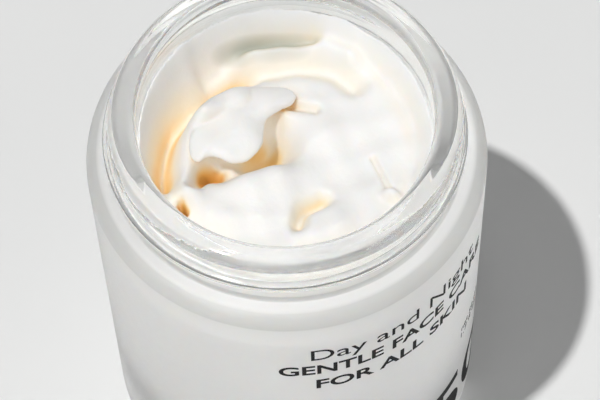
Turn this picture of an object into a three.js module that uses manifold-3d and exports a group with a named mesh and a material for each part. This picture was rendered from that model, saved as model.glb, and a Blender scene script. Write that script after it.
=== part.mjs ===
// A glass cream jar with its screw cap lying upturned beside it. Millimetres, +Z up.
// The origin is the centre of the jar's flat base; the print on the glass faces -Y.
// Every piece of the lid is drawn where it sits on the closed jar, and its group then
// turns it over and sets it down on the table.

import * as THREE from 'three';
import { mergeVertices } from 'three/addons/utils/BufferGeometryUtils.js';
import Module from 'manifold-3d';

const wasm = await Module();
wasm.setup();

// ---- driving dimensions -------------------------------------------------------------

const SEGMENTS = 60;            // facets round every turned piece
const GAP = 0.3;                // air between pieces that touch on the real object
const WELD_DISTANCE = 0.002;    // vertices nearer than this are one

// glass jar
const BODY_RADIUS = 26.5;
const JAR_HEIGHT = 68;
const HEEL_RADIUS = 3;          // rounding between base and side
const SHOULDER_RADIUS = 2.2;    // rounding between side and shoulder
const NECK_LENGTH = 8.1;        // shoulder to rim
const NECK_RADIUS = 23;         // outside of the neck between the threads
const BORE_RADIUS = 19.3;
const BASE_THICKNESS = 10;
const BORE_CORNER = 5;
const LIP_OUTER_RADIUS = 1.6;
const LIP_INNER_RADIUS = 1.2;
const BASE_GROOVE = { inner: 17, outer: 20.5, depth: 0.6 };

// screw thread, right-handed, shared by neck and cap
const PITCH = 3;
const THREAD_DEPTH = 0.9;
const THREAD_CLEARANCE = 0.35;   // neck crest to cap wall
const CREST_CLEARANCE = 0.4;    // cap crest to neck wall
const RIDGE_BASE_WIDTH = 1.3;
const RIDGE_CREST_WIDTH = 0.6;
const RIDGE_OFFSET = 1.35;      // cap ridge below neck ridge on the closed jar
const JAR_RIDGE_START = 62;     // height of the neck ridge's lower end
const RIDGE_SECTIONS = 40;      // sections in one turn of ridge
const RIDGE_FADE = 4;           // sections over which a ridge rises out of its wall
const RIDGE_END_RISE = 0.2;     // how far it has risen at its very end, in sections
const RIDGE_ROOT = 0.4;         // how deep its foot is buried in the wall
const RIDGE_LEAD = THREE.MathUtils.degToRad(1.5);  // keeps ridge sections off the facet edges
const CLOSING_TURNS = 1.5;

// cap
const CAP_RADIUS = BODY_RADIUS;
const CAP_HEIGHT = 17;
const CAP_WALL = 1.2;
const CAP_TOP_THICKNESS = 1.4;
const CAP_EDGE_RADIUS = 1.5;
const CAP_LIFT = 0.5;           // closed cap's skirt above the shoulder
const CAP_MOUTH_BEVEL = { inner: 0.3, outer: 0.4 };
const INNER_CAP_WALL = 0.75;
const INNER_CAP_PLATE = 1.4;
const INNER_CAP_BEVEL = 0.6;
const INNER_CAP_RECESS = 0.2;   // inner cap's edge inside the shell's mouth
const POST_RING = { inner: 10, outer: 11.2 };
const LINER_THICKNESS = 1;
const DISC_RADIUS = 22.6;
const DISC_THICKNESS = 0.8;
const DISC_BEAD = { inner: 17.8, outer: 18.6, depth: 0.8, draft: 0.2 };
const NAIL_NOTCH_RADIUS = 4;    // fingernail scallop in the disc's edge
const NAIL_NOTCH_DEPTH = 1;

// cream
const CREAM_WALL_TOP = 62.8;    // smeared edge against the bore
const CREAM_FILM = 0.8;         // thickness of that smear
const CREAM_FOOT = 2.5;         // where the smear meets the surface, in from the bore
const CREAM_TROUGH = 58.2;
const CREAM_CREST = 60.8;
const CREAM_SWELL = 1;          // rise and fall beside the crest

// table position of the upturned cap
const PARKED_X = -70;

// ---- derived heights on the closed jar ----------------------------------------------

const SHOULDER_Z = JAR_HEIGHT - NECK_LENGTH;
const THREAD_CREST = NECK_RADIUS + THREAD_DEPTH;
const CAP_ROOT = THREAD_CREST + THREAD_CLEARANCE;
const CAP_CREST = NECK_RADIUS + CREST_CLEARANCE;
const CAP_BOTTOM = SHOULDER_Z + CAP_LIFT;
const CAP_TOP = CAP_BOTTOM + CAP_HEIGHT;
const DISC_BOTTOM = JAR_HEIGHT + GAP;
const DISC_TOP = DISC_BOTTOM + DISC_THICKNESS;
const LINER_BOTTOM = DISC_TOP + GAP;
const LINER_TOP = LINER_BOTTOM + LINER_THICKNESS;
const PLATE_BOTTOM = LINER_TOP + GAP;
const PLATE_TOP = PLATE_BOTTOM + INNER_CAP_PLATE;
const INNER_CAP_BOTTOM = CAP_BOTTOM + INNER_CAP_RECESS;
const CAP_TRAVEL = PITCH * CLOSING_TURNS;

// ---- helpers ------------------------------------------------------------------------

const point = (radius, z) => new THREE.Vector2(radius, z);

function arc(radius, z, size, from, to, steps = 4) {
  const points = [];
  for (let i = 0; i <= steps; i++) {
    const angle = THREE.MathUtils.degToRad(from + (to - from) * i / steps);
    points.push(point(radius + size * Math.cos(angle), z + size * Math.sin(angle)));
  }
  return points;
}

// Joins vertices that share a place and drops the triangles this closes up.
function weld(geometry) {
  const bare = geometry.clone();
  bare.deleteAttribute('normal');
  bare.deleteAttribute('uv');
  const welded = mergeVertices(bare, WELD_DISTANCE);
  const index = Array.from(welded.index.array);
  const kept = [];
  for (let i = 0; i < index.length; i += 3) {
    const [a, b, c] = index.slice(i, i + 3);
    if (a !== b && b !== c && c !== a) kept.push(a, b, c);
  }
  welded.setIndex(kept);
  return welded;
}

function toSolid(geometry) {
  const welded = weld(geometry);
  const vertProperties = new Float32Array(welded.attributes.position.array);
  const triVerts = new Uint32Array(welded.index.array);
  return new wasm.Manifold(new wasm.Mesh({ numProp: 3, vertProperties, triVerts }));
}

function toGeometry(solid) {
  const mesh = solid.getMesh();
  const geometry = new THREE.BufferGeometry();
  const positions = new THREE.BufferAttribute(new Float32Array(mesh.vertProperties), 3);
  geometry.setAttribute('position', positions);
  geometry.setIndex(Array.from(mesh.triVerts));
  const welded = weld(geometry);
  welded.computeVertexNormals();
  return welded;
}

// The profile runs anticlockwise in the (radius, z) plane, so that faces point out.
function revolve(profile) {
  const geometry = new THREE.LatheGeometry(profile, SEGMENTS);
  geometry.rotateX(Math.PI / 2);
  geometry.rotateZ(Math.PI / 2);
  return toSolid(geometry);
}

// A helical ridge with a trapezoid section that rises out of its wall at both ends.
function threadRidge({ root, crest, buried, startAngle, startZ, turns }) {
  const steps = Math.round(turns * RIDGE_SECTIONS);
  const vertices = [];
  for (let i = 0; i <= steps; i++) {
    const angle = RIDGE_LEAD + startAngle + turns * 2 * Math.PI * i / steps;
    const z = startZ + PITCH * turns * i / steps;
    const fromEnd = Math.min(i, steps - i) + RIDGE_END_RISE;
    const rise = Math.min(1, fromEnd / RIDGE_FADE);
    const tip = root + (crest - root) * rise;
    const tipHalf = (RIDGE_BASE_WIDTH + (RIDGE_CREST_WIDTH - RIDGE_BASE_WIDTH) * rise) / 2;
    const section = [
      [buried, z - RIDGE_BASE_WIDTH / 2],
      [tip, z - tipHalf],
      [tip, z + tipHalf],
      [buried, z + RIDGE_BASE_WIDTH / 2],
    ];
    for (const [radius, height] of section) {
      vertices.push(radius * Math.cos(angle), radius * Math.sin(angle), height);
    }
  }
  const index = [0, 2, 1, 0, 3, 2];
  for (let i = 0; i < steps; i++) {
    for (let side = 0; side < 4; side++) {
      const a = 4 * i + side;
      const b = 4 * i + (side + 1) % 4;
      index.push(a, b, b + 4, a, b + 4, a + 4);
    }
  }
  const last = 4 * steps;
  index.push(last, last + 1, last + 2, last, last + 2, last + 3);
  if (crest > root) {
    for (let i = 0; i < index.length; i += 3) {
      [index[i + 1], index[i + 2]] = [index[i + 2], index[i + 1]];
    }
  }
  const geometry = new THREE.BufferGeometry();
  geometry.setAttribute('position', new THREE.Float32BufferAttribute(vertices, 3));
  geometry.setIndex(index);
  return toSolid(geometry);
}

function piece(name, solid, material) {
  const mesh = new THREE.Mesh(toGeometry(solid), material);
  mesh.name = name;
  return mesh;
}

// ---- materials ----------------------------------------------------------------------

const frostedGlass = new THREE.MeshStandardMaterial({ color: 0xdfe2e0, roughness: 0.55 });
const whiteCream = new THREE.MeshStandardMaterial({ color: 0xf4f0e6, roughness: 0.45 });
const whiteShell = new THREE.MeshStandardMaterial({ color: 0xeeeeec, roughness: 0.6 });
const innerPlastic = new THREE.MeshStandardMaterial({ color: 0xe4e4e2, roughness: 0.5 });
const linerFoam = new THREE.MeshStandardMaterial({ color: 0xf5f5f2, roughness: 0.85 });
const discPlastic = new THREE.MeshStandardMaterial({ color: 0xf1f1ee, roughness: 0.4 });

// ---- pieces -------------------------------------------------------------------------

function outerJarProfile() {
  const heel = BODY_RADIUS - HEEL_RADIUS;
  const shoulder = BODY_RADIUS - SHOULDER_RADIUS;
  const lip = NECK_RADIUS - LIP_OUTER_RADIUS;
  return [
    point(0, 0),
    point(BASE_GROOVE.inner, 0),
    point(BASE_GROOVE.inner + BASE_GROOVE.depth, BASE_GROOVE.depth),
    point(BASE_GROOVE.outer - BASE_GROOVE.depth, BASE_GROOVE.depth),
    point(BASE_GROOVE.outer, 0),
    ...arc(heel, HEEL_RADIUS, HEEL_RADIUS, -90, 0, 5),
    ...arc(shoulder, SHOULDER_Z - SHOULDER_RADIUS, SHOULDER_RADIUS, 0, 90, 5),
    point(NECK_RADIUS, SHOULDER_Z),
    ...arc(lip, JAR_HEIGHT - LIP_OUTER_RADIUS, LIP_OUTER_RADIUS, 0, 90),
  ];
}

function boreProfile() {
  const lip = BORE_RADIUS + LIP_INNER_RADIUS;
  const corner = BORE_RADIUS - BORE_CORNER;
  return [
    ...arc(lip, JAR_HEIGHT - LIP_INNER_RADIUS, LIP_INNER_RADIUS, 90, 180),
    ...arc(corner, BASE_THICKNESS + BORE_CORNER, BORE_CORNER, 0, -90, 5),
    point(0, BASE_THICKNESS),
  ];
}

function glassJar() {
  const body = revolve([...outerJarProfile(), ...boreProfile()]);
  const ridge = threadRidge({
    root: NECK_RADIUS,
    crest: THREAD_CREST,
    buried: NECK_RADIUS - RIDGE_ROOT,
    startAngle: 0,
    startZ: JAR_RIDGE_START,
    turns: 1,
  });
  return piece('glass_jar', body.add(ridge), frostedGlass);
}

function cream() {
  const radius = BORE_RADIUS - GAP;
  const corner = radius - BORE_CORNER;
  const floor = BASE_THICKNESS + GAP;
  return piece('cream', revolve([
    point(0, floor),
    ...arc(corner, floor + BORE_CORNER, BORE_CORNER, -90, 0, 5),
    point(radius, CREAM_WALL_TOP),
    point(radius - CREAM_FILM, CREAM_WALL_TOP),
    point(radius - CREAM_FOOT, CREAM_TROUGH),
    point(radius * 3 / 4, CREAM_TROUGH + CREAM_SWELL),
    point(radius / 2, CREAM_CREST),
    point(radius / 4, CREAM_CREST - CREAM_SWELL),
    point(0, CREAM_TROUGH),
  ]), whiteCream);
}

function capShell() {
  const inside = CAP_RADIUS - CAP_WALL;
  const edge = CAP_RADIUS - CAP_EDGE_RADIUS;
  const ceiling = CAP_TOP - CAP_TOP_THICKNESS;
  const postBottom = PLATE_TOP + GAP;
  return piece('cap_shell', revolve([
    point(0, ceiling),
    point(POST_RING.inner, ceiling),
    point(POST_RING.inner, postBottom),
    point(POST_RING.outer, postBottom),
    point(POST_RING.outer, ceiling),
    point(inside, ceiling),
    point(inside, CAP_BOTTOM + CAP_MOUTH_BEVEL.inner),
    point(inside + CAP_MOUTH_BEVEL.inner, CAP_BOTTOM),
    point(CAP_RADIUS - CAP_MOUTH_BEVEL.outer, CAP_BOTTOM),
    point(CAP_RADIUS, CAP_BOTTOM + CAP_MOUTH_BEVEL.outer),
    ...arc(edge, CAP_TOP - CAP_EDGE_RADIUS, CAP_EDGE_RADIUS, 0, 90),
    point(0, CAP_TOP),
  ]), whiteShell);
}

function innerCap() {
  const outside = CAP_ROOT + INNER_CAP_WALL;
  const cup = revolve([
    point(0, PLATE_BOTTOM),
    point(CAP_ROOT, PLATE_BOTTOM),
    point(CAP_ROOT, INNER_CAP_BOTTOM),
    point(outside, INNER_CAP_BOTTOM),
    point(outside, PLATE_TOP - INNER_CAP_BEVEL),
    point(outside - INNER_CAP_BEVEL, PLATE_TOP),
    point(0, PLATE_TOP),
  ]);
  const lowest = INNER_CAP_BOTTOM + RIDGE_BASE_WIDTH / 2;
  const turnsAbove = (lowest + RIDGE_OFFSET - JAR_RIDGE_START) / PITCH;
  const ridge = threadRidge({
    root: CAP_ROOT,
    crest: CAP_CREST,
    buried: CAP_ROOT + RIDGE_ROOT,
    startAngle: turnsAbove * 2 * Math.PI,
    startZ: lowest,
    turns: 1,
  });
  return piece('inner_cap', cup.add(ridge), innerPlastic);
}

function capLiner() {
  const radius = CAP_ROOT - GAP;
  return piece('cap_liner', revolve([
    point(0, LINER_BOTTOM),
    point(radius, LINER_BOTTOM),
    point(radius, LINER_TOP),
    point(0, LINER_TOP),
  ]), linerFoam);
}

function sealingDisc() {
  const beadBottom = DISC_BOTTOM - DISC_BEAD.depth;
  const plate = revolve([
    point(0, DISC_BOTTOM),
    point(DISC_BEAD.inner, DISC_BOTTOM),
    point(DISC_BEAD.inner + DISC_BEAD.draft, beadBottom),
    point(DISC_BEAD.outer - DISC_BEAD.draft, beadBottom),
    point(DISC_BEAD.outer, DISC_BOTTOM),
    point(DISC_RADIUS, DISC_BOTTOM),
    point(DISC_RADIUS, DISC_TOP),
    point(0, DISC_TOP),
  ]);
  const reach = 4 * DISC_THICKNESS;
  const cutter = new THREE.CylinderGeometry(NAIL_NOTCH_RADIUS, NAIL_NOTCH_RADIUS, reach, 24);
  cutter.rotateX(Math.PI / 2);
  cutter.translate(0, -(DISC_RADIUS + NAIL_NOTCH_RADIUS - NAIL_NOTCH_DEPTH), DISC_BOTTOM);
  return piece('sealing_disc', plate.subtract(toSolid(cutter)), discPlastic);
}

// ---- assembly -----------------------------------------------------------------------

// Turns a group over about Y and stands it on the cap's flat top, `raised` above there.
function park(group, raised) {
  group.rotation.y = Math.PI;
  group.position.set(PARKED_X, 0, CAP_TOP + raised);
  return group;
}

const lid = park(new THREE.Group(), 0);
const turned = new THREE.Group();
turned.rotation.z = CLOSING_TURNS * 2 * Math.PI;
turned.add(capShell(), innerCap());
lid.add(turned, capLiner());

const disc = park(new THREE.Group(), CAP_TRAVEL);
disc.add(sealingDisc());

const jar = new THREE.Group();
jar.add(glassJar(), cream(), disc, lid);

export default jar;
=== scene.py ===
"""A glass cream jar, open and full, with its screw cap upturned beside it.

Shapes are worked out in millimetres and written to Blender in metres. Places on the
cream are given in the view frame: `across` runs to the camera's right, `away` runs
from the camera into the scene, and heights are counted from DATUM_Z.
"""
import math

import bmesh
import bpy
import numpy as np
from mathutils import Matrix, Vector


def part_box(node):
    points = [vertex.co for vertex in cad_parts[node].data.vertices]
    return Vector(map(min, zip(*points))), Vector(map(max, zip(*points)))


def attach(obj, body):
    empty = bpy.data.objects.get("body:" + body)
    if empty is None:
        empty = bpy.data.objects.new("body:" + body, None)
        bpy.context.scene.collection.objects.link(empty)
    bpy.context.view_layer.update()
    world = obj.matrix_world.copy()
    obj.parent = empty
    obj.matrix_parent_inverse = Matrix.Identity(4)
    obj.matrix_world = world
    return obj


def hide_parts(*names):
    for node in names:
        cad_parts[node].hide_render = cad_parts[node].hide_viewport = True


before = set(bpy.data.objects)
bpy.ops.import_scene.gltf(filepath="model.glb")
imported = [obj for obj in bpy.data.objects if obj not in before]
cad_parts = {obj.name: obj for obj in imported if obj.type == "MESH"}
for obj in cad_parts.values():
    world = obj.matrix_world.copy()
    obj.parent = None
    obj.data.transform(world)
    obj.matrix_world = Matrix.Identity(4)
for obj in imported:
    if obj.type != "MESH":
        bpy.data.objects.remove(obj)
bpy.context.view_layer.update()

MM = 0.001
TAU = 2 * math.pi

# ---- dimensions, in millimetres -------------------------------------------------------


def corners(node):
    """Low and high corner of a CAD node's box."""
    return [np.array(corner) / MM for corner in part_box(node)]


JAR_HIGH = corners("glass_jar")[1]
CAP_LOW, CAP_HIGH = corners("cap_shell")
INNER_LOW, INNER_HIGH = corners("inner_cap")
LINER_LOW, LINER_HIGH = corners("cap_liner")
DISC_LOW, DISC_HIGH = corners("sealing_disc")

BODY_RADIUS = JAR_HIGH[0]
RIM_Z = JAR_HIGH[2]
HEEL_RADIUS = 3.0
SHOULDER_RADIUS = 2.2
NECK_LENGTH = 8.1
SHOULDER_Z = RIM_Z - NECK_LENGTH
NECK_RADIUS = 23.0
NECK_FILLET = 0.6
BORE_RADIUS = 19.3
BASE_THICKNESS = 10.0
BORE_CORNER = 5.0
LIP_OUTER_RADIUS = 1.6
LIP_INNER_RADIUS = 1.2
GROOVE_INNER, GROOVE_OUTER, GROOVE_DEPTH = 17.0, 20.5, 0.6    # the ring under the base
GROOVE_LEAD, GROOVE_LEAD_DEPTH = 0.3, 0.12                     # its eased edges

PITCH = 3.0
THREAD_DEPTH = 0.9
RIDGE_BASE = 1.3
RIDGE_CREST = 0.6
RIDGE_FADE = 0.2                  # turns over which a ridge rises out of its wall
JAR_RIDGE_TURN = 1.5 / 360        # where the neck ridge starts, in turns
JAR_RIDGE_Z = 62.0
CAP_RIDGE_TURN = 286.5 / 360
CAP_RIDGE_Z = INNER_HIGH[2] - RIDGE_BASE / 2 - PITCH
CAP_ROOT = 24.25                  # radius between the ridges of the insert
CAP_CREST = 23.4                  # radius at their crests

CAP_X = (CAP_LOW[0] + CAP_HIGH[0]) / 2
CAP_TOP_THICKNESS = 1.4
CAP_EDGE_RADIUS = 1.5
CAP_WALL = 1.2
CAP_MOUTH_OUTER_RADIUS = 0.4
CAP_MOUTH_INNER_RADIUS = 0.3
CAP_CORNER = 0.5                  # round between ceiling and wall
POST_INNER, POST_OUTER = 10.0, 11.2   # the ring that carries the insert
PLATE_GAP = 0.3                   # between facing parts of the cap
INSERT_BEVEL = 0.6
INSERT_MOUTH_RADIUS = 0.25
LINER_BEVEL = 0.2
PRESS_INNER, PRESS_OUTER = 20.0, 22.6     # the mark that the rim leaves in the liner
PRESS_SLOPE, PRESS_DEPTH = 0.3, 0.06

DISC_RADIUS = 22.6
DISC_THICKNESS = 0.8
DISC_EDGE = 0.2
DISC_BORDER = 1.5                 # the scallop moves only this much of the edge
BEAD_RADIUS = 18.2                # middle of the bead that centres the disc
BEAD_TIP, BEAD_SIDE, BEAD_FOOT = 0.2, 0.35, 0.55
BEAD_RISE = 0.15
GATE_RADIUS = 5.7                 # faint ring round the moulding gate
GATE_HALF, GATE_SLOPE, GATE_RISE = 0.3, 0.3, 0.12
SCALLOP_REACH, SCALLOP_DEPTH = 4.0, 1.0
SCALLOP_BEARING = math.radians(-90)
SCALLOP_STRETCH = 0.4             # how far the edge's rings close up beside it

DATUM_Z = SHOULDER_Z + 6.1        # the camera and the cream are placed from this height

# ---- camera ---------------------------------------------------------------------------

SENSOR = 36.0
LENS = 147.5
CAMERA_AZIMUTH = math.radians(-42)
CAMERA_ELEVATION = math.radians(60)
CAMERA_ROLL = math.radians(-2.19)
CAMERA_DISTANCE = 317.8           # along the view axis to the jar's axis at DATUM_Z
AIM_OFFSET = (-1.92, 10.36)       # that point from the view axis: across, up


def view_axes():
    """Rows are the view frame's across and away directions in the row frame."""
    a = CAMERA_AZIMUTH
    return np.array([[math.cos(a), math.sin(a)], [-math.sin(a), math.cos(a)]])


def from_view(across, away):
    """Row-frame x and y of a place in the view frame."""
    axes = view_axes()
    return (across * axes[0, 0] + away * axes[1, 0], across * axes[0, 1] + away * axes[1, 1])


def make_camera():
    axes = view_axes()
    right = np.array([*axes[0], 0.0])
    away = np.array([*axes[1], 0.0])
    forward = away * math.cos(CAMERA_ELEVATION)
    forward[2] = -math.sin(CAMERA_ELEVATION)
    up = np.cross(right, forward)
    cos_roll, sin_roll = math.cos(CAMERA_ROLL), math.sin(CAMERA_ROLL)
    image_right = cos_roll * right + sin_roll * up
    image_up = cos_roll * up - sin_roll * right
    target = np.array([0.0, 0.0, DATUM_Z])
    place = target - forward * CAMERA_DISTANCE
    place = place - image_right * AIM_OFFSET[0] - image_up * AIM_OFFSET[1]
    data = bpy.data.cameras.new("camera")
    data.sensor_width = SENSOR
    data.lens = LENS
    data.clip_start = 0.01
    camera = bpy.data.objects.new("camera", data)
    camera.rotation_mode = "QUATERNION"
    turn = np.array([image_right, image_up, -forward]).T
    matrix = np.eye(4)
    matrix[:3, :3] = turn
    matrix[:3, 3] = place * MM
    camera.matrix_world = Matrix(matrix)
    bpy.context.collection.objects.link(camera)
    bpy.context.scene.camera = camera


# ---- mesh helpers ---------------------------------------------------------------------

def arc(radius, z, size, start, end, steps=10):
    """Points of a circular arc in the (radius, z) plane, angles in degrees."""
    angles = np.radians(np.linspace(start, end, steps + 1))
    return [(radius + size * math.cos(a), z + size * math.sin(a)) for a in angles]


def straight(start, end, step):
    """Points from start to end, evenly spaced, without the first."""
    count = max(1, math.ceil(math.dist(start, end) / step))
    return [tuple(np.array(start) + (np.array(end) - start) * i / count)
            for i in range(1, count + 1)]


def add_mesh(name, vertices, faces, smooth=True):
    mesh = bpy.data.meshes.new(name)
    mesh.from_pydata([tuple(v) for v in np.asarray(vertices) * MM], [], faces)
    mesh.update()
    if smooth:
        mesh.polygons.foreach_set("use_smooth", [True] * len(mesh.polygons))
    piece = bpy.data.objects.new(name, mesh)
    bpy.context.collection.objects.link(piece)
    return piece


def lathe(name, profile, centre=0.0, segments=256, reshape=None):
    """Turns a profile that starts and ends on the axis about +Z.

    reshape(radius, z, angle) may move the wall's radius; all three are arrays.
    """
    radius = np.array([p[0] for p in profile])
    height = np.array([p[1] for p in profile])
    angle = np.arange(segments) * TAU / segments
    rows, columns = np.meshgrid(np.arange(len(profile)), angle, indexing="ij")
    grid_radius = radius[rows]
    grid_z = height[rows]
    if reshape:
        grid_radius = reshape(grid_radius, grid_z, columns)
    vertices = []
    row_start = []
    on_axis = radius < 1e-6
    for i in range(len(profile)):
        row_start.append(len(vertices))
        if on_axis[i]:
            vertices.append((centre, 0.0, height[i]))
            continue
        x = centre + grid_radius[i] * np.cos(angle)
        y = grid_radius[i] * np.sin(angle)
        vertices.extend(zip(x, y, grid_z[i]))
    faces = []
    for i in range(len(profile) - 1):
        a, b = row_start[i], row_start[i + 1]
        for j in range(segments):
            k = (j + 1) % segments
            if on_axis[i]:
                faces.append((a, b + k, b + j))
            elif on_axis[i + 1]:
                faces.append((a + j, a + k, b))
            else:
                faces.append((a + j, a + k, b + k, b + j))
    piece = add_mesh(name, vertices, faces)
    bm = bmesh.new()
    bm.from_mesh(piece.data)
    bmesh.ops.recalc_face_normals(bm, faces=bm.faces)
    bm.to_mesh(piece.data)
    bm.free()
    return piece


def soft_step(low, high, value):
    """0 up to low, 1 from high on, and a smooth rise between; low may be above high."""
    t = np.clip((value - low) / (high - low), 0.0, 1.0)
    return t * t * (3 - 2 * t)


def ridge_height(z, angle, start_z, start_turn):
    """How far one turn of screw ridge has risen at each place, from 0 to 1."""
    risen = np.zeros_like(z)
    for lap in (-1, 0, 1):
        turns = angle / TAU + lap - start_turn
        across = np.abs(z - start_z - PITCH * turns)
        section = soft_step(RIDGE_BASE / 2 + 0.1, RIDGE_CREST / 2 - 0.05, across)
        ends = soft_step(0, RIDGE_FADE, turns) * soft_step(1, 1 - RIDGE_FADE, turns)
        risen = np.maximum(risen, section * ends)
    return risen


# ---- materials ------------------------------------------------------------------------

def new_material(name):
    material = bpy.data.materials.new(name)
    material.use_nodes = True
    nodes = material.node_tree.nodes
    return material, nodes, material.node_tree.links, nodes["Principled BSDF"]


def object_noise(nodes, links, scale, detail=3.0):
    """Noise in the row frame; scale is in features per metre."""
    coords = nodes.new("ShaderNodeTexCoord")
    noise = nodes.new("ShaderNodeTexNoise")
    noise.inputs["Scale"].default_value = scale
    noise.inputs["Detail"].default_value = detail
    links.new(coords.outputs["Object"], noise.inputs["Vector"])
    return noise.outputs["Fac"]


def ramp(nodes, links, source, stops):
    node = nodes.new("ShaderNodeValToRGB")
    elements = node.color_ramp.elements
    while len(elements) < len(stops):
        elements.new(0.5)
    for element, (position, colour) in zip(elements, stops):
        element.position = position
        element.color = (*colour, 1.0)
    links.new(source, node.inputs["Fac"])
    return node.outputs["Color"]


def add_bump(nodes, links, shader, height, distance, strength=1.0):
    bump = nodes.new("ShaderNodeBump")
    bump.inputs["Distance"].default_value = distance
    bump.inputs["Strength"].default_value = strength
    links.new(height, bump.inputs["Height"])
    links.new(bump.outputs["Normal"], shader.inputs["Normal"])


def clear_glass():
    material, nodes, links, shader = new_material("clear_glass")
    shader.inputs["Transmission Weight"].default_value = 1.0
    shader.inputs["IOR"].default_value = 1.5
    shader.inputs["Roughness"].default_value = 0.07
    tint = ramp(nodes, links, object_noise(nodes, links, 60.0),
                [(0.3, (0.95, 0.965, 0.955)), (0.7, (0.975, 0.98, 0.975))])
    links.new(tint, shader.inputs["Base Color"])
    add_bump(nodes, links, shader, object_noise(nodes, links, 160.0), 0.00006)
    return material


def frosted_glass():
    """Etched glass: part see-through, part scattering, with painted shade greying the round of the
    shoulder.
    """
    material, nodes, links, shader = new_material("frosted_glass")
    shader.inputs["Transmission Weight"].default_value = 0.55
    shader.inputs["IOR"].default_value = 1.5
    shader.inputs["Subsurface Weight"].default_value = 0.8
    shader.inputs["Subsurface Radius"].default_value = (1.0, 0.98, 0.94)
    shader.inputs["Subsurface Scale"].default_value = 7.0 * MM
    roughness = ramp(nodes, links, object_noise(nodes, links, 900.0),
                     [(0.3, (0.5, 0.5, 0.5)), (0.7, (0.58, 0.58, 0.58))])
    links.new(roughness, shader.inputs["Roughness"])
    tint = ramp(nodes, links, object_noise(nodes, links, 45.0),
                [(0.3, (0.93, 0.935, 0.925)), (0.7, (0.955, 0.955, 0.95))])
    # Painted shade: the round of the shoulder bends light away, so it is greyed in the colour, darker
    # than the flat and the wall.
    coords = nodes.new("ShaderNodeTexCoord")
    split = nodes.new("ShaderNodeSeparateXYZ")
    links.new(coords.outputs["Normal"], split.inputs["Vector"])
    shoulder_painted_shade = ramp(nodes, links, split.outputs["Z"], [
        (0.00, (1.0, 1.0, 1.0)),
        (0.12, (0.70, 0.705, 0.70)),
        (0.93, (0.70, 0.705, 0.70)),
        (0.995, (1.0, 1.0, 1.0)),
    ])
    both = nodes.new("ShaderNodeMix")
    both.data_type = "RGBA"
    both.blend_type = "MULTIPLY"
    both.inputs["Factor"].default_value = 1.0
    links.new(tint, both.inputs["A"])
    links.new(shoulder_painted_shade, both.inputs["B"])
    links.new(both.outputs["Result"], shader.inputs["Base Color"])
    add_bump(nodes, links, shader, object_noise(nodes, links, 5200.0, 2.0), 0.000012)
    return material


FADE_CORE = 0.35                  # share of each ellipsoid that has its least factor throughout

# Painted shade, deeper and tanner in these hollows than occlusion alone gives: middle and radii
# (across, away, up), least factor.
HOLLOW_PAINTED_SHADE = [
    ((-3.4, 0.8, -11.0), (5.4, 3.6, 4.4), 0.3),
    ((-11.2, -3.2, -11.0), (2.6, 3.4, 4.8), 0.25),
    ((-13.7, -8.9, -10.0), (0.7, 1.1, 5.0), 0.1),
]
# The grey-green shadow painted behind the far ridge, in the same terms.
FAR_SHADE = ((-2.0, 16.2, -8.4), (11.0, 2.2, 3.4), 0.0)
FAR_SHADE_COLOUR = (0.50, 0.505, 0.43, 1.0)


def fade_near(nodes, links, place, radii, least):
    """`least` about a place, rising to 1 at the surface of the ellipsoid round it."""
    coords = nodes.new("ShaderNodeTexCoord")
    x, y = from_view(place[0], place[1])
    mapping = nodes.new("ShaderNodeMapping")
    mapping.vector_type = "TEXTURE"
    mapping.inputs["Location"].default_value = (x * MM, y * MM, (DATUM_Z + place[2]) * MM)
    mapping.inputs["Rotation"].default_value = (0.0, 0.0, CAMERA_AZIMUTH)
    mapping.inputs["Scale"].default_value = [r * MM for r in radii]
    links.new(coords.outputs["Object"], mapping.inputs["Vector"])
    reach = nodes.new("ShaderNodeVectorMath")
    reach.operation = "LENGTH"
    links.new(mapping.outputs["Vector"], reach.inputs[0])
    fade = nodes.new("ShaderNodeMapRange")
    fade.inputs["From Min"].default_value = FADE_CORE
    fade.inputs["To Min"].default_value = least
    links.new(reach.outputs["Value"], fade.inputs["Value"])
    return fade.outputs["Result"]


def cream_material():
    """White cream with painted shade: tan to brown where it is enclosed, and a painted grey-green
    shadow behind the far ridge.
    """
    material, nodes, links, shader = new_material("cream")
    occlusion = nodes.new("ShaderNodeAmbientOcclusion")
    occlusion.samples = 12
    occlusion.only_local = True
    occlusion.inputs["Distance"].default_value = 4.5 * MM
    shade = occlusion.outputs["AO"]
    for place, radii, least in HOLLOW_PAINTED_SHADE:
        product = nodes.new("ShaderNodeMath")
        product.operation = "MULTIPLY"
        links.new(shade, product.inputs[0])
        links.new(fade_near(nodes, links, place, radii, least), product.inputs[1])
        shade = product.outputs["Value"]
    # Painted shade: where occlusion is low the cream is coloured tan and brown, for the shade and the
    # warm scattered light in its creases.
    colour = ramp(nodes, links, shade, [
        (0.04, (0.50, 0.25, 0.06)),
        (0.14, (0.82, 0.48, 0.13)),
        (0.27, (0.92, 0.69, 0.35)),
        (0.42, (0.93, 0.86, 0.74)),
        (1.00, (0.92, 0.915, 0.905)),
    ])
    # Painted shadow: the grey-green colour is mixed in behind the far ridge.
    both = nodes.new("ShaderNodeMix")
    both.data_type = "RGBA"
    both.inputs["A"].default_value = FAR_SHADE_COLOUR
    links.new(fade_near(nodes, links, *FAR_SHADE), both.inputs["Factor"])
    links.new(colour, both.inputs["B"])
    links.new(both.outputs["Result"], shader.inputs["Base Color"])
    shader.inputs["Roughness"].default_value = 0.52
    shader.inputs["Specular IOR Level"].default_value = 0.35
    shader.inputs["Subsurface Weight"].default_value = 0.5
    shader.inputs["Subsurface Radius"].default_value = (1.0, 0.8, 0.62)
    shader.inputs["Subsurface Scale"].default_value = 1.6 * MM
    add_bump(nodes, links, shader, object_noise(nodes, links, 420.0, 4.0), 0.00012)
    return material


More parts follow.
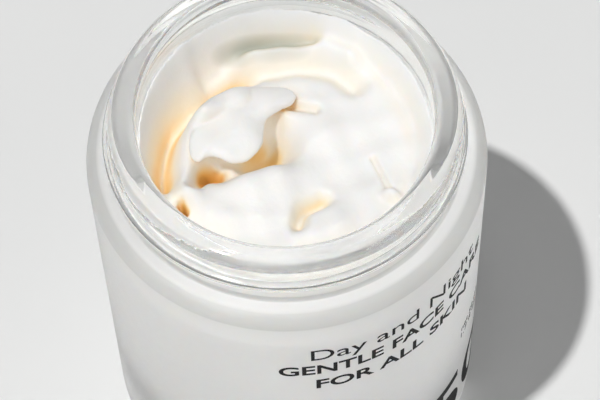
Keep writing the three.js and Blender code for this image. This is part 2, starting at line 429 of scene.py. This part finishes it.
def moulded_plastic(name, light, dark, roughness, grain=2600.0):
    material, nodes, links, shader = new_material(name)
    colour = ramp(nodes, links, object_noise(nodes, links, 70.0), [(0.35, dark), (0.65, light)])
    links.new(colour, shader.inputs["Base Color"])
    shader.inputs["Roughness"].default_value = roughness
    add_bump(nodes, links, shader, object_noise(nodes, links, grain, 2.0), 0.00002)
    return material


def print_ink():
    material, nodes, links, shader = new_material("print_ink")
    colour = ramp(nodes, links, object_noise(nodes, links, 3000.0),
                  [(0.3, (0.006, 0.006, 0.007)), (0.7, (0.014, 0.014, 0.015))])
    links.new(colour, shader.inputs["Base Color"])
    shader.inputs["Roughness"].default_value = 0.6
    shader.inputs["Specular IOR Level"].default_value = 0.15
    return material


def floor_material():
    material, nodes, links, shader = new_material("floor")
    colour = ramp(nodes, links, object_noise(nodes, links, 9.0),
                  [(0.35, (0.775, 0.782, 0.782)), (0.65, (0.8, 0.805, 0.805))])
    links.new(colour, shader.inputs["Base Color"])
    shader.inputs["Roughness"].default_value = 0.6
    return material


# ---- glass jar ------------------------------------------------------------------------

JAR_SEGMENTS = 320


def jar_outside():
    """The frosted wall, from the centre of the base to the foot of the neck."""
    side_low = (BODY_RADIUS, HEEL_RADIUS)
    side_high = (BODY_RADIUS, SHOULDER_Z - SHOULDER_RADIUS)
    shoulder_edge = (BODY_RADIUS - SHOULDER_RADIUS, SHOULDER_Z)
    return [
        (0.0, 0.0),
        *straight((0, 0), (GROOVE_INNER, 0), 3),
        (GROOVE_INNER + GROOVE_LEAD, GROOVE_LEAD_DEPTH),
        (GROOVE_INNER + GROOVE_DEPTH, GROOVE_DEPTH),
        (GROOVE_OUTER - GROOVE_DEPTH, GROOVE_DEPTH),
        (GROOVE_OUTER - GROOVE_LEAD, GROOVE_LEAD_DEPTH),
        (GROOVE_OUTER, 0.0),
        *arc(BODY_RADIUS - HEEL_RADIUS, HEEL_RADIUS, HEEL_RADIUS, -90, 0, 14),
        *straight(side_low, side_high, 4),
        *arc(BODY_RADIUS - SHOULDER_RADIUS, side_high[1], SHOULDER_RADIUS, 0, 90, 14)[1:],
        *straight(shoulder_edge, (NECK_RADIUS + NECK_FILLET, SHOULDER_Z), 0.5),
        *arc(NECK_RADIUS + NECK_FILLET, SHOULDER_Z + NECK_FILLET, NECK_FILLET, -90, -180, 6)[1:],
    ]


def jar_neck():
    """Clear glass: up the threaded neck, over the lip and down to the bottom of the bore."""
    foot = (NECK_RADIUS, SHOULDER_Z + NECK_FILLET)
    lip_start = (NECK_RADIUS, RIM_Z - LIP_OUTER_RADIUS)
    bore_top = (BORE_RADIUS, RIM_Z - LIP_INNER_RADIUS)
    bore_low = (BORE_RADIUS, BASE_THICKNESS + BORE_CORNER)
    return [
        *straight(foot, lip_start, 0.1),
        *arc(NECK_RADIUS - LIP_OUTER_RADIUS, lip_start[1], LIP_OUTER_RADIUS, 0, 90, 16)[1:],
        *arc(BORE_RADIUS + LIP_INNER_RADIUS, bore_top[1], LIP_INNER_RADIUS, 90, 180, 12),
        *straight(bore_top, bore_low, 3),
        *arc(BORE_RADIUS - BORE_CORNER, bore_low[1], BORE_CORNER, 0, -90, 14)[1:],
        (0.0, BASE_THICKNESS),
    ]


def neck_thread(radius, z, angle):
    """Raises the screw ridge on the neck, and leaves the bore and the shoulder alone."""
    on_wall = (np.abs(radius - NECK_RADIUS) < 0.3) & (z > SHOULDER_Z + 0.2)
    risen = ridge_height(z, angle, JAR_RIDGE_Z, JAR_RIDGE_TURN)
    return radius + THREAD_DEPTH * risen * on_wall


def make_jar():
    """One closed solid of revolution, frosted up to the foot of the neck and clear from there."""
    outside = jar_outside()
    jar = lathe("glass_jar_body", outside + jar_neck(), segments=JAR_SEGMENTS, reshape=neck_thread)
    jar.data.materials.append(frosted_glass())
    jar.data.materials.append(clear_glass())
    frosted_bands = len(outside) - 1
    for polygon in jar.data.polygons:
        polygon.material_index = 0 if polygon.index < frosted_bands * JAR_SEGMENTS else 1
    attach(jar, "jar")
    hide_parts("glass_jar")
    return jar


# ---- cream ----------------------------------------------------------------------------

CREAM_WETTING = 0.03                # how far the cream reaches into the glass, so no air shows
CREAM_RADIUS = BORE_RADIUS + CREAM_WETTING
CREAM_LEVEL = -7.2                  # general height of the surface
CREAM_HIGHEST = -1.2
CREAM_SLAB = -16.0                  # underside of the sculpted part
CREAM_LEAST_DEPTH = 1.5             # of the sculpted part
CREAM_OVERLAP = 0.6                 # of the sculpted part and the fill below it
CREAM_VOXEL = 0.2
MOUND_EXPONENT, MOUND_SHARPNESS = 3.0, 0.9
RIPPLE_HEIGHT = 0.22

FILM_HEIGHT = 3.6                   # cream smeared up the bore, on average
FILM_LEAN = 1.6                     # how much higher it is at FILM_PEAK
FILM_PEAK = math.radians(140)
FILM_START, FILM_END = 15.8, 19.4   # radii between which it rises


def distance_to_path(x, y, path):
    """Distance from each place to a polyline."""
    best = np.full_like(x, 1e9)
    for (ax, ay), (bx, by) in zip(path[:-1], path[1:]):
        dx, dy = bx - ax, by - ay
        t = np.clip(((x - ax) * dx + (y - ay) * dy) / (dx * dx + dy * dy), 0, 1)
        best = np.minimum(best, np.hypot(x - ax - t * dx, y - ay - t * dy))
    return best


def smooth_path(points, per_span=8):
    """A Catmull-Rom curve through the points."""
    points = [np.array(p, float) for p in points]
    padded = [2 * points[0] - points[1], *points, 2 * points[-1] - points[-2]]
    curve = []
    for p0, p1, p2, p3 in zip(padded, padded[1:], padded[2:], padded[3:]):
        for i in range(per_span):
            t = i / per_span
            curve.append(0.5 * (2 * p1 + (p2 - p0) * t + (2 * p0 - 5 * p1 + 4 * p2 - p3) * t * t
                                + (3 * p1 - p0 - 3 * p2 + p3) * t ** 3))
    curve.append(points[-1])
    return [tuple(p) for p in curve]


# Long features of the surface: path (across, away), half-width, height (negative is a groove).
CREAM_STROKES = {
    "wall_groove": ([(-6.5, 12.6), (-11.2, 9.8), (-14.3, 6.8), (-16.2, 3.2), (-17.0, -0.5),
                     (-16.9, -3.4)], 1.5, -5.6),
    "left_ridge": ([(-11.0, 3.4), (-12.2, 0.2), (-12.6, -3.2), (-12.8, -6.8)], 1.5, 3.0),
    "crevice_fold": ([(-10.6, 0.2), (-9.2, -1.2), (-7.6, -1.6)], 0.9, 1.7),
    "far_trough": ([(-9.0, 10.6), (-4.0, 12.6), (2.0, 13.0), (6.5, 11.8), (9.0, 9.4)], 1.3, -2.2),
    "far_ridge": ([(-6.5, 15.2), (0.0, 16.0), (5.0, 15.6), (8.6, 13.6)], 1.2, 2.2),
    "far_gap": ([(-11.0, 13.4), (-5.0, 16.3), (4.0, 16.8)], 0.9, -2.8),
    "scoop": ([(1.2, -11.6), (1.9, -9.6), (4.4, -8.2)], 0.75, -2.5),
    "right_slit": ([(11.3, -2.2), (12.2, -4.5), (13.0, -7.0)], 0.28, -0.7),
    "dimple": ([(0.6, 6.6), (4.0, 5.4)], 0.5, -1.2),
    "near_gap": ([(-14.0, -8.4), (-13.4, -9.4)], 0.28, -2.6),
    "crevice_tip": ([(-9.6, -2.0), (-11.2, -3.4), (-12.1, -5.4)], 0.75, -3.2),
    "right_fold": ([(4.0, 10.0), (9.5, 8.2), (13.5, 3.0), (14.2, -3.0), (11.5, -9.0)], 2.2, 0.8),
    "near_fold": ([(-11.0, -9.0), (-5.0, -10.8), (0.0, -10.6)], 1.3, 0.9),
}

# Round features: centre, radii, turn in degrees, height.
CREAM_MOUNDS = {
    "crevice": ((-7.4, -0.4), (5.8, 3.6), 12, -4.6),
    "crevice_right": ((-1.8, 1.0), (3.6, 3.0), 0, -3.2),
    "crevice_neck": ((-2.2, 4.2), (1.6, 2.2), 0, -1.8),
    "flap_support": ((-7.5, 6.4), (4.6, 3.0), 20, 3.4),
    "middle_mound": ((4.2, 2.6), (4.8, 4.2), 0, 1.3),
    "lower_mound": ((-3.4, -5.6), (5.4, 3.4), 8, 2.6),
    "near_mound": ((4.5, -12.0), (4.0, 3.0), 20, 1.6),
    "right_bead": ((13.4, -8.2), (1.2, 0.8), -20, 1.4),
}


def wall_film(x, y):
    """Cream smeared up the bore, highest on the left and far sides."""
    radius = np.hypot(x, y)
    bearing = np.arctan2(y, x)
    height = FILM_HEIGHT + FILM_LEAN * np.cos(bearing - FILM_PEAK)
    return height * soft_step(FILM_START, FILM_END, radius) ** 2


def cream_height(x, y):
    """Height of the surface at each place in the view frame."""
    height = np.full_like(x, CREAM_LEVEL)
    for centre, radii, turn, rise in CREAM_MOUNDS.values():
        a = math.radians(turn)
        u = (x - centre[0]) * math.cos(a) + (y - centre[1]) * math.sin(a)
        v = (y - centre[1]) * math.cos(a) - (x - centre[0]) * math.sin(a)
        reach = np.sqrt((u / radii[0]) ** 2 + (v / radii[1]) ** 2)
        height = height + rise * np.exp(-(reach ** MOUND_EXPONENT) * MOUND_SHARPNESS)
    for path, width, rise in CREAM_STROKES.values():
        reach = distance_to_path(x, y, smooth_path(path)) / width
        height = height + rise * np.exp(-0.5 * reach ** 2)
    height = height + wall_film(x, y)
    ripple = RIPPLE_HEIGHT * np.sin(0.55 * x + 0.9 * y) * np.sin(0.8 * x - 0.35 * y + 1.0)
    return np.clip(height + ripple, CREAM_SLAB + CREAM_LEAST_DEPTH, CREAM_HIGHEST)


def cream_slab():
    """Vertices and faces of the closed body under the height field, on rings."""
    rings, spokes = 110, 400
    vertices = [(0.0, 0.0, float(cream_height(np.zeros(1), np.zeros(1))[0]))]
    angle = np.arange(spokes) * TAU / spokes
    for ring in range(1, rings + 1):
        radius = CREAM_RADIUS * ring / rings
        x, y = radius * np.cos(angle), radius * np.sin(angle)
        vertices.extend(zip(x, y, cream_height(x, y)))
    edge_x, edge_y = CREAM_RADIUS * np.cos(angle), CREAM_RADIUS * np.sin(angle)
    vertices.extend(zip(edge_x, edge_y, np.full(spokes, CREAM_SLAB)))
    vertices.append((0.0, 0.0, CREAM_SLAB))
    faces = [(0, 1 + j, 1 + (j + 1) % spokes) for j in range(spokes)]
    for ring in range(rings):
        a = 1 + ring * spokes
        b = a + spokes
        faces.extend((a + j, b + j, b + (j + 1) % spokes, a + (j + 1) % spokes)
                     for j in range(spokes))
    low = 1 + rings * spokes
    last = len(vertices) - 1
    faces.extend((low + j, last, low + (j + 1) % spokes) for j in range(spokes))
    return vertices, faces


# The fold that hangs over the crevice: its outline, anticlockwise, and its middle.
FLAP_OUTLINE = [
    (1.7, 7.5), (0.2, 8.8), (-4.8, 8.9), (-8.8, 7.6), (-10.0, 5.4), (-11.6, 3.3), (-12.7, 1.2),
    (-12.7, -1.3), (-11.7, -2.5), (-10.2, -1.9), (-8.8, -2.3), (-7.2, -3.0), (-5.0, -2.5),
    (-3.2, -0.4), (-2.9, 1.8), (-2.5, 3.7), (-0.6, 5.2), (1.0, 6.2),
]
FLAP_MIDDLE = (-7.0, 3.4)
FLAP_TOP = -4.3                     # height of the upper side at the middle
FLAP_DROOP = 0.9                    # how much lower the edge is
FLAP_TILT = 0.05                    # fall per millimetre away from the camera
FLAP_WAVE = 0.25
FLAP_THICKNESS = 1.2
FLAP_RINGS = 30


def flap_rings(outline, share):
    """The upper and the lower ring of points at a share of the way from middle to edge."""
    middle = np.array(FLAP_MIDDLE)
    place = middle + (outline - middle) * share
    x, y = place[:, 0], place[:, 1]
    crown = FLAP_TOP - FLAP_DROOP * share ** 3 - FLAP_TILT * (y - 2.0)
    crown = crown + FLAP_WAVE * np.sin(0.9 * x + 0.4) * np.sin(0.7 * y)
    core = crown - FLAP_THICKNESS / 2
    half = FLAP_THICKNESS / 2 * math.sqrt(max(0.0, 1 - share ** 8))
    return list(zip(x, y, core + half)), list(zip(x, y, core - half))


def flap_mesh():
    """Vertices and faces of the closed flap: two sheets that meet at the edge."""
    outline = np.array(smooth_path(FLAP_OUTLINE + FLAP_OUTLINE[:1]))[:-1]
    count = len(outline)
    inner = [flap_rings(outline, ring / FLAP_RINGS) for ring in range(1, FLAP_RINGS)]
    vertices = []
    for side in range(2):
        for rings in inner:
            vertices.extend(rings[side])
    rim = len(vertices)
    vertices.extend(flap_rings(outline, 1.0)[0])
    poles = (len(vertices), len(vertices) + 1)
    vertices.append((*FLAP_MIDDLE, FLAP_TOP))
    vertices.append((*FLAP_MIDDLE, FLAP_TOP - FLAP_THICKNESS))
    faces = []
    for side, order in ((0, 1), (1, -1)):
        first = side * (FLAP_RINGS - 1) * count
        starts = [first + i * count for i in range(FLAP_RINGS - 1)] + [rim]
        for j in range(count):
            k = (j + 1) % count
            faces.append((poles[side], first + j, first + k)[::order])
            for a, b in zip(starts, starts[1:]):
                faces.append((a + j, b + j, b + k, a + k)[::order])
    return vertices, faces


def apply_modifiers(piece):
    """Replaces the piece's mesh by what its modifiers make of it, and drops them."""
    graph = bpy.context.evaluated_depsgraph_get()
    mesh = bpy.data.meshes.new_from_object(piece.evaluated_get(graph))
    piece.modifiers.clear()
    piece.data = mesh


def make_cream_top():
    """The surface and the flap, fused by a voxel remesh and smoothed a little."""
    vertices, faces = cream_slab()
    flap_vertices, flap_faces = flap_mesh()
    offset = len(vertices)
    faces = faces + [tuple(i + offset for i in face) for face in flap_faces]
    local = np.array(vertices + flap_vertices)
    x, y = from_view(local[:, 0], local[:, 1])
    placed = np.stack([x, y, DATUM_Z + local[:, 2]], axis=1)
    cream = add_mesh("cream_surface", placed, faces)
    remesh = cream.modifiers.new("remesh", "REMESH")
    remesh.mode = "VOXEL"
    remesh.voxel_size = CREAM_VOXEL * MM
    smooth = cream.modifiers.new("smooth", "SMOOTH")
    smooth.factor = 0.5
    smooth.iterations = 2
    apply_modifiers(cream)
    cream.data.polygons.foreach_set("use_smooth", [True] * len(cream.data.polygons))
    return cream


def make_cream_fill():
    """The plain body of cream below the sculpted part."""
    corner = CREAM_RADIUS - BORE_CORNER
    bottom = BASE_THICKNESS - CREAM_WETTING
    top = DATUM_Z + CREAM_SLAB + CREAM_OVERLAP
    return lathe("cream_fill", [
        (0.0, bottom),
        *arc(corner, bottom + BORE_CORNER, BORE_CORNER, -90, 0, 14),
        *straight((CREAM_RADIUS, BASE_THICKNESS + BORE_CORNER), (CREAM_RADIUS, top), 4),
        (0.0, top),
    ])


def make_cream():
    material = cream_material()
    top = make_cream_top()
    fill = make_cream_fill()
    for piece in (top, fill):
        piece.data.materials.append(material)
        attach(piece, "jar")
    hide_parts("cream")
    return [top, fill]


# ---- print ----------------------------------------------------------------------------

INK_THICKNESS = 0.03
INK_PROUD = 0.8                     # share of it that stands out of the glass
INK_CUT = 0.5                       # the letters are cut into strips this wide, to bend round the jar

# name, words, baseline height, capital height, bearing of both ends in degrees, boldness
PRINT_LINES = [
    ("print_first_line", "Day and Night", 49.0, 2.75, 4.7, 66.0, 0.0),
    ("print_second_line", "GENTLE FACE CARE", 45.0, 2.35, -4.6, 73.0, 0.022),
    ("print_third_line", "FOR ALL SKIN", 40.7, 2.35, 6.0, 62.5, 0.022),
    ("print_small_upper", "net 50 ml", 28.2, 1.3, 62.0, 77.0, 0.0),
    ("print_small_lower", "1.7 fl oz", 26.2, 1.3, 62.0, 76.0, 0.0),
    ("print_volume", "50 ml", 5.0, 11.5, 46.0, 136.0, 0.01),
]


def text_mesh(words, boldness):
    """Solid letters one unit thick, from z = -0.5 to 0.5."""
    curve = bpy.data.curves.new("letters", "FONT")
    curve.body = words
    curve.size = 1.0
    curve.offset = boldness
    curve.extrude = 0.5
    curve.resolution_u = 6
    holder = bpy.data.objects.new("letters", curve)
    bpy.context.collection.objects.link(holder)
    graph = bpy.context.evaluated_depsgraph_get()
    mesh = bpy.data.meshes.new_from_object(holder.evaluated_get(graph))
    bpy.data.objects.remove(holder)
    return mesh


def capital_height():
    mesh = text_mesh("H", 0.0)
    return max(v.co.y for v in mesh.vertices) - min(v.co.y for v in mesh.vertices)


def make_print_line(name, words, baseline, height, start, end, boldness, capital):
    mesh = text_mesh(words, boldness)
    bm = bmesh.new()
    bm.from_mesh(mesh)
    bmesh.ops.remove_doubles(bm, verts=bm.verts, dist=1e-5)
    left = min(v.co.x for v in bm.verts)
    width = max(v.co.x for v in bm.verts) - left
    length = math.radians(end - start) * BODY_RADIUS
    cuts = int(length / INK_CUT)
    for i in range(1, cuts):
        everything = bm.verts[:] + bm.edges[:] + bm.faces[:]
        cut = (left + width * i / cuts, 0, 0)
        bmesh.ops.bisect_plane(bm, geom=everything, plane_co=cut, plane_no=(1, 0, 0))
    front = math.radians(-90) + CAMERA_AZIMUTH        # bearing of the side nearest the camera
    for vertex in bm.verts:
        angle = front + math.radians(start) + (vertex.co.x - left) / width * length / BODY_RADIUS
        radius = BODY_RADIUS + INK_THICKNESS * (vertex.co.z - 0.5 + INK_PROUD)
        z = baseline + vertex.co.y / capital * height
        vertex.co = (radius * math.cos(angle) * MM, radius * math.sin(angle) * MM, z * MM)
    bmesh.ops.recalc_face_normals(bm, faces=bm.faces)
    bm.to_mesh(mesh)
    bm.free()
    piece = bpy.data.objects.new(name, mesh)
    bpy.context.collection.objects.link(piece)
    return piece


def make_print():
    ink = print_ink()
    capital = capital_height()
    for line in PRINT_LINES:
        piece = make_print_line(*line, capital)
        piece.data.materials.clear()
        piece.data.materials.append(ink)
        piece.visible_transmission = False      # the rim shows no mirror image of the print
        piece.visible_glossy = False
        piece.visible_shadow = False
        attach(piece, "jar")


# ---- cap, lying upturned: its closed end is down ---------------------------------------

def finish_piece(piece, material, body, node):
    piece.data.materials.append(material)
    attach(piece, body)
    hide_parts(node)


def make_cap_shell():
    """The outer cup of the cap, with its ring post."""
    radius = CAP_HIGH[0] - CAP_X
    inside = radius - CAP_WALL
    mouth = CAP_HIGH[2]
    ceiling = CAP_TOP_THICKNESS
    post_top = INNER_LOW[2] - PLATE_GAP
    outer, inner, corner = CAP_MOUTH_OUTER_RADIUS, CAP_MOUTH_INNER_RADIUS, CAP_CORNER
    shell = lathe("cap_outer_shell", [
        (0.0, 0.0),
        *straight((0, 0), (radius - CAP_EDGE_RADIUS, 0), 4),
        *arc(radius - CAP_EDGE_RADIUS, CAP_EDGE_RADIUS, CAP_EDGE_RADIUS, -90, 0, 12)[1:],
        *straight((radius, CAP_EDGE_RADIUS), (radius, mouth - outer), 3),
        *arc(radius - outer, mouth - outer, outer, 0, 90, 6)[1:],
        *arc(inside + inner, mouth - inner, inner, 90, 180, 5),
        *straight((inside, mouth - inner), (inside, ceiling + corner), 3),
        *arc(inside - corner, ceiling + corner, corner, 0, -90, 5)[1:],
        (POST_OUTER, ceiling),
        (POST_OUTER, post_top),
        (POST_INNER, post_top),
        (POST_INNER, ceiling),
        (0.0, ceiling),
    ], centre=CAP_X)
    plastic = moulded_plastic("cap_shell_plastic", (0.86, 0.86, 0.85), (0.83, 0.83, 0.825), 0.42)
    finish_piece(shell, plastic, "cap", "cap_shell")


def cap_thread(radius, z, angle):
    """Raises the screw ridge inside the insert."""
    on_wall = (np.abs(radius - CAP_ROOT) < 0.3) & (z > LINER_HIGH[2])
    risen = ridge_height(z, angle, CAP_RIDGE_Z, CAP_RIDGE_TURN)
    return radius - (CAP_ROOT - CAP_CREST) * risen * on_wall


def make_inner_cap():
    """The threaded cup inside the shell."""
    outside = INNER_HIGH[0] - CAP_X
    low, high = INNER_LOW[2], INNER_HIGH[2]
    floor = LINER_LOW[2] - PLATE_GAP
    bevel, edge = INSERT_BEVEL, INSERT_MOUTH_RADIUS
    insert = lathe("cap_threaded_insert", [
        (0.0, low),
        (outside - bevel, low),
        *arc(outside - bevel, low + bevel, bevel, -90, 0, 5)[1:],
        *straight((outside, low + bevel), (outside, high - edge), 2),
        *arc(outside - edge, high - edge, edge, 0, 90, 4)[1:],
        *arc(CAP_ROOT + edge, high - edge, edge, 90, 180, 4),
        *straight((CAP_ROOT, high - edge), (CAP_ROOT, floor + 0.1), 0.1),
        (CAP_ROOT, floor),
        (0.0, floor),
    ], centre=CAP_X, reshape=cap_thread)
    plastic = moulded_plastic("insert_plastic", (0.8, 0.8, 0.79), (0.77, 0.77, 0.765), 0.38)
    finish_piece(insert, plastic, "cap", "inner_cap")


def make_liner():
    """The foam disc, marked by the rim of the jar."""
    radius = LINER_HIGH[0] - CAP_X
    low, high = LINER_LOW[2], LINER_HIGH[2]
    pressed = high - PRESS_DEPTH
    liner = lathe("cap_foam_liner", [
        (0.0, low),
        (radius - LINER_BEVEL, low),
        (radius, low + LINER_BEVEL),
        (radius, high - LINER_BEVEL),
        (radius - LINER_BEVEL, high),
        (PRESS_OUTER, high),
        (PRESS_OUTER - PRESS_SLOPE, pressed),
        (PRESS_INNER + PRESS_SLOPE, pressed),
        (PRESS_INNER, high),
        (0.0, high),
    ], centre=CAP_X, segments=192)
    foam = moulded_plastic("liner_foam", (0.88, 0.88, 0.865), (0.82, 0.82, 0.81), 0.85, 1500.0)
    finish_piece(liner, foam, "liner", "cap_liner")


def disc_notch(radius, z, angle):
    """The fingernail scallop in the edge of the disc."""
    offset = DISC_RADIUS + SCALLOP_REACH - SCALLOP_DEPTH
    away = np.abs((angle - SCALLOP_BEARING + math.pi) % TAU - math.pi)
    aside = offset * np.sin(away)
    inside_root = np.clip(SCALLOP_REACH ** 2 - aside ** 2, 0, None)
    scallop = offset * np.cos(away) - np.sqrt(inside_root)
    cut = (radius > DISC_RADIUS - DISC_BORDER) & (aside < SCALLOP_REACH) & (away < 0.5)
    moved = scallop - (DISC_RADIUS - radius) * SCALLOP_STRETCH
    return np.where(cut, np.minimum(radius, moved), radius)


def make_disc():
    """The sealing disc, bead side up as it lies in the upturned cap."""
    low, flat = DISC_LOW[2], DISC_LOW[2] + DISC_THICKNESS
    bead_top = DISC_HIGH[2]
    edge = DISC_RADIUS - DISC_EDGE
    border = DISC_RADIUS - DISC_BORDER
    bead_out, bead_in = BEAD_RADIUS + BEAD_FOOT, BEAD_RADIUS - BEAD_FOOT
    gate_out, gate_in = GATE_RADIUS + GATE_HALF, GATE_RADIUS - GATE_HALF
    disc = lathe("sealing_disc_plate", [
        (0.0, low),
        *straight((0, low), (border, low), 3),
        (edge, low),
        *arc(edge, low + DISC_EDGE, DISC_EDGE, -90, 0, 4)[1:],
        *arc(edge, flat - DISC_EDGE, DISC_EDGE, 0, 90, 4),
        (border, flat),
        (bead_out, flat),
        (BEAD_RADIUS + BEAD_SIDE, flat + BEAD_RISE),
        *arc(BEAD_RADIUS, bead_top - BEAD_TIP, BEAD_TIP, 0, 180, 6),
        (BEAD_RADIUS - BEAD_SIDE, flat + BEAD_RISE),
        (bead_in, flat),
        *straight((bead_in, flat), (gate_out + GATE_SLOPE, flat), 2),
        (gate_out, flat + GATE_RISE),
        (gate_in, flat + GATE_RISE),
        (gate_in - GATE_SLOPE, flat),
        (0.0, flat),
    ], centre=CAP_X, reshape=disc_notch)
    plastic = moulded_plastic("disc_plastic", (0.9, 0.9, 0.89), (0.87, 0.87, 0.865), 0.3)
    shader = plastic.node_tree.nodes["Principled BSDF"]
    shader.inputs["Subsurface Weight"].default_value = 0.3
    shader.inputs["Subsurface Scale"].default_value = 1.0 * MM
    finish_piece(disc, plastic, "seal", "sealing_disc")


# ---- floor and light ------------------------------------------------------------------

SUN_SHIFT = (19.2, 11.2)          # a point at SUN_HEIGHT casts its shadow this far over
SUN_HEIGHT = 57.7
SUN_ANGLE = math.radians(1.8)
SUN_POWER = 2.3
CREAM_SUN_POWER = 1.4             # the cream scatters some of its sunlight, which the lift gives back
CREAM_LIFT_POWER = 0.95
CREAM_LIFT_DIRECTION = (-0.1, 0.5, -0.87)     # across, away, up
GLOW_POWER = 0.14
GLOW_DIRECTION = (0.05, 0.0, 1.0)             # in the row frame
FILL_POWER = 0.9
FILL_DIRECTION = (-1.0, 0.45, -0.35)          # across, away, up
SOFT_ANGLE = math.radians(60)
FILL_ANGLE = math.radians(50)
FLOOR_REACH = 1500.0


def make_floor():
    size = FLOOR_REACH
    square = [(-size, -size, 0), (size, -size, 0), (size, size, 0), (-size, size, 0)]
    floor = add_mesh("floor", square, [(0, 1, 2, 3)], smooth=False)
    floor.data.materials.append(floor_material())
    return floor


def make_sun(name, power, angle, direction):
    """A sun lamp whose light travels along a direction in the row frame."""
    data = bpy.data.lights.new(name, "SUN")
    data.energy = power
    data.angle = angle
    data.color = (1.0, 0.995, 0.985)
    sun = bpy.data.objects.new(name, data)
    direction = np.array(direction)
    axis = -direction / np.linalg.norm(direction)
    side = np.cross([0.0, 1.0, 0.0], axis)
    side /= np.linalg.norm(side)
    matrix = np.eye(4)
    matrix[:3, :3] = np.array([side, np.cross(axis, side), axis]).T
    sun.matrix_world = Matrix(matrix)
    bpy.context.collection.objects.link(sun)
    return sun


def light_group(name, pieces, included=True):
    """A light-linking collection that names these pieces, or everything else."""
    group = bpy.data.collections.new(name)
    for piece in pieces:
        group.objects.link(piece)
    if not included:
        for entry in group.collection_objects:
            entry.light_linking.link_state = "EXCLUDE"
    return group


def make_key_lights(jar, cream_pieces):
    """Sunlight, which reaches the jar and the cream as though the glass cast no shadow on them."""
    down = (*from_view(*SUN_SHIFT), -SUN_HEIGHT)
    main = make_sun("key_light", SUN_POWER, SUN_ANGLE, down)
    main.light_linking.receiver_collection = light_group("all_but_jar", [jar, *cream_pieces], False)
    on_glass = make_sun("key_light_on_glass", SUN_POWER, SUN_ANGLE, down)
    on_glass.light_linking.receiver_collection = light_group("jar_only", [jar])
    on_glass.light_linking.blocker_collection = light_group("jar_lets_sun_on_jar", [jar], False)
    on_cream = make_sun("key_light_on_cream", CREAM_SUN_POWER, SUN_ANGLE, down)
    on_cream.light_linking.receiver_collection = light_group("cream_only", cream_pieces)
    on_cream.light_linking.blocker_collection = light_group("jar_lets_sun_on_cream", [jar], False)


def make_glow(jar, ignored):
    """Stands for the sunlight that the glass gathers and scatters up through the jar."""
    glow = make_sun("glow_in_glass", GLOW_POWER, SOFT_ANGLE, GLOW_DIRECTION)
    glow.light_linking.receiver_collection = light_group("glow_receivers", [jar])
    glow.light_linking.blocker_collection = light_group("glow_ignores", ignored, False)


def make_fill(jar):
    """A soft light from the camera's right, for the side of the jar that the key leaves dark."""
    across, away, up = FILL_DIRECTION
    fill = make_sun("fill_on_glass", FILL_POWER, FILL_ANGLE, (*from_view(across, away), up))
    fill.light_linking.receiver_collection = light_group("fill_receivers", [jar])


def make_lift(cream_pieces):
    """Stands for the light scattered inside the cream, which lifts its shadows."""
    across, away, up = CREAM_LIFT_DIRECTION
    direction = (*from_view(across, away), up)
    lift = make_sun("scatter_in_cream", CREAM_LIFT_POWER, SOFT_ANGLE, direction)
    lift.data.use_shadow = False
    lift.light_linking.receiver_collection = light_group("lift_receivers", cream_pieces)


def make_world():
    world = bpy.data.worlds.new("studio")
    bpy.context.scene.world = world
    world.use_nodes = True
    nodes, links = world.node_tree.nodes, world.node_tree.links
    background = nodes["Background"]
    coords = nodes.new("ShaderNodeTexCoord")
    split = nodes.new("ShaderNodeSeparateXYZ")
    links.new(coords.outputs["Generated"], split.inputs["Vector"])
    colour = ramp(nodes, links, split.outputs["Z"], [
        (0.0, (0.12, 0.12, 0.12)),
        (0.2, (0.23, 0.23, 0.23)),
        (0.6, (0.27, 0.27, 0.27)),
        (1.0, (0.27, 0.27, 0.27)),
    ])
    links.new(colour, background.inputs["Color"])
    background.inputs["Strength"].default_value = 1.0


def set_render_options():
    scene = bpy.context.scene
    scene.view_settings.view_transform = "Standard"
    scene.cycles.use_denoising = True
    scene.cycles.max_bounces = 14
    scene.cycles.transmission_bounces = 12
    scene.cycles.diffuse_bounces = 5
    scene.cycles.glossy_bounces = 6
    scene.cycles.caustics_refractive = True
    scene.cycles.sample_clamp_indirect = 6.0


# ---- scene ----------------------------------------------------------------------------

make_camera()
glass = make_jar()
cream = make_cream()
make_print()
make_cap_shell()
make_inner_cap()
make_liner()
make_disc()
table = make_floor()
make_key_lights(glass, cream)
make_glow(glass, [glass, table, *cream])
make_fill(glass)
make_lift(cream)
make_world()
set_render_options()
